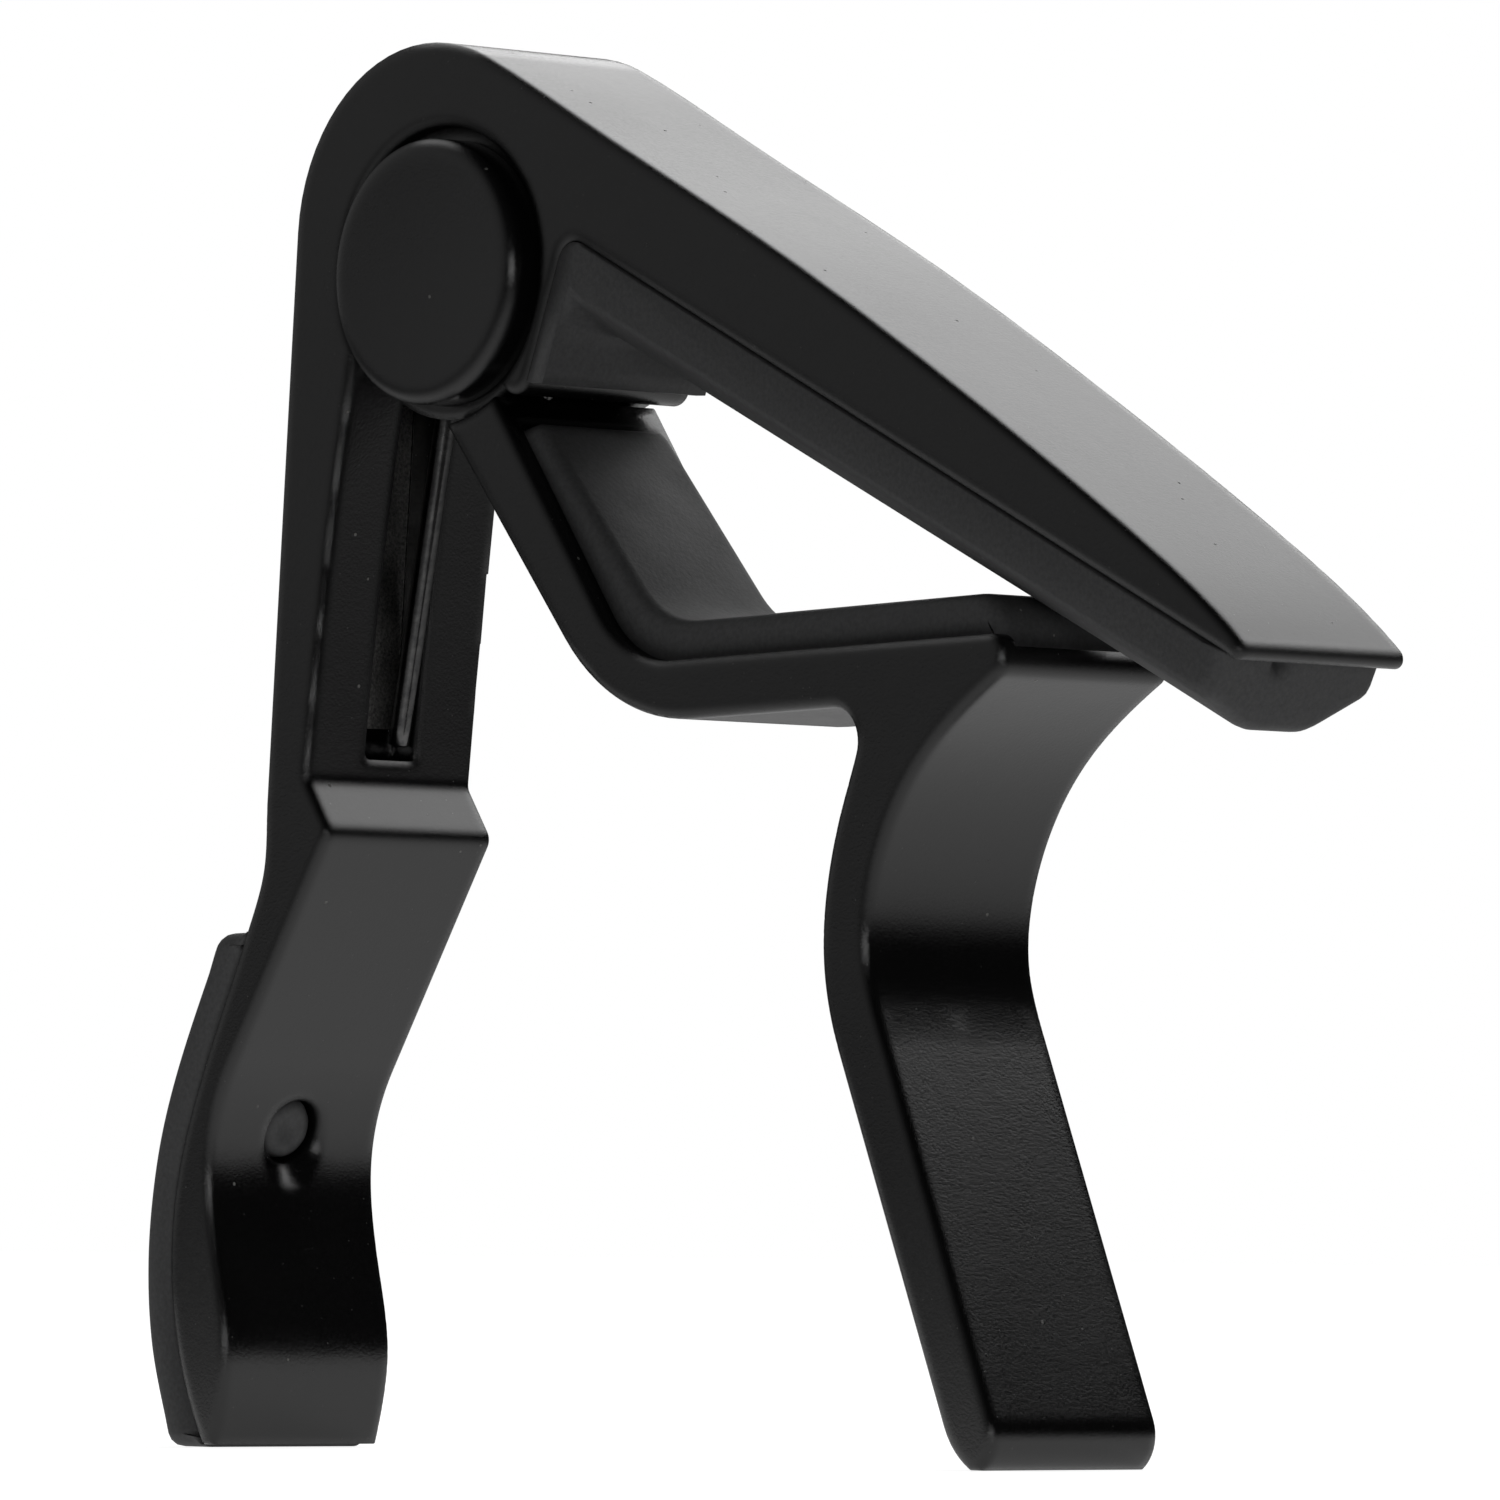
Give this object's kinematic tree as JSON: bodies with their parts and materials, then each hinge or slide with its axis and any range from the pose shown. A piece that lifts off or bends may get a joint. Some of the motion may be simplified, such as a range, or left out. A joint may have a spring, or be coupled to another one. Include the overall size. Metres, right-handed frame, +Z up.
{
  "type": "guitar capo",
  "caption": "Squeeze capo: cast bar and rear lever on one hub, sprung jaw with curved trigger, soft pads on bar, jaw and lever, round pivot caps.",
  "frame": {"origin": "centre of the bounding box's base, on the surface both feet stand on", "axes": "+X from the hub towards the bar's tip, +Y along the pivot axis, +Z up as it stands on its two handle tips"},
  "size_m": [0.0996, 0.0176, 0.0906],
  "materials": {
    "cast_black": "gloss black enamel on cast aluminium",
    "cap_black": "gloss black enamel",
    "pin_steel": "plain steel",
    "spring_steel": "blackened spring wire",
    "strip_steel": "grainy satin",
    "washer_plastic": "natural nylon",
    "mandrel_plastic": "moulded",
    "pad_rubber": "matte"
  },
  "bodies": {
    "lever_body": {"lever_casting": "cast_black", "pivot_pin": "pin_steel", "near_cap": "cap_black", "far_cap": "cap_black", "near_washer": "washer_plastic", "far_washer": "washer_plastic", "spring_mandrel": "mandrel_plastic", "torsion_spring": "spring_steel", "strike_plate": "strip_steel", "fretboard_pad": "pad_rubber", "grip_pad": "pad_rubber"},
    "jaw_body": {"jaw_casting": "cast_black", "neck_pad": "pad_rubber"}
  },
  "joints": [
    {"name": "jaw_hinge", "type": "hinge", "parent": "lever_body", "child": "jaw_body", "pos_m": [-0.02195, 0, 0.0757], "axis": [0, 1, 0], "range_deg": [0, 48.5], "stiffness_Nm_per_rad": 0.8, "springref_deg": -57.3, "deforming": ["torsion_spring"]}
  ]
}
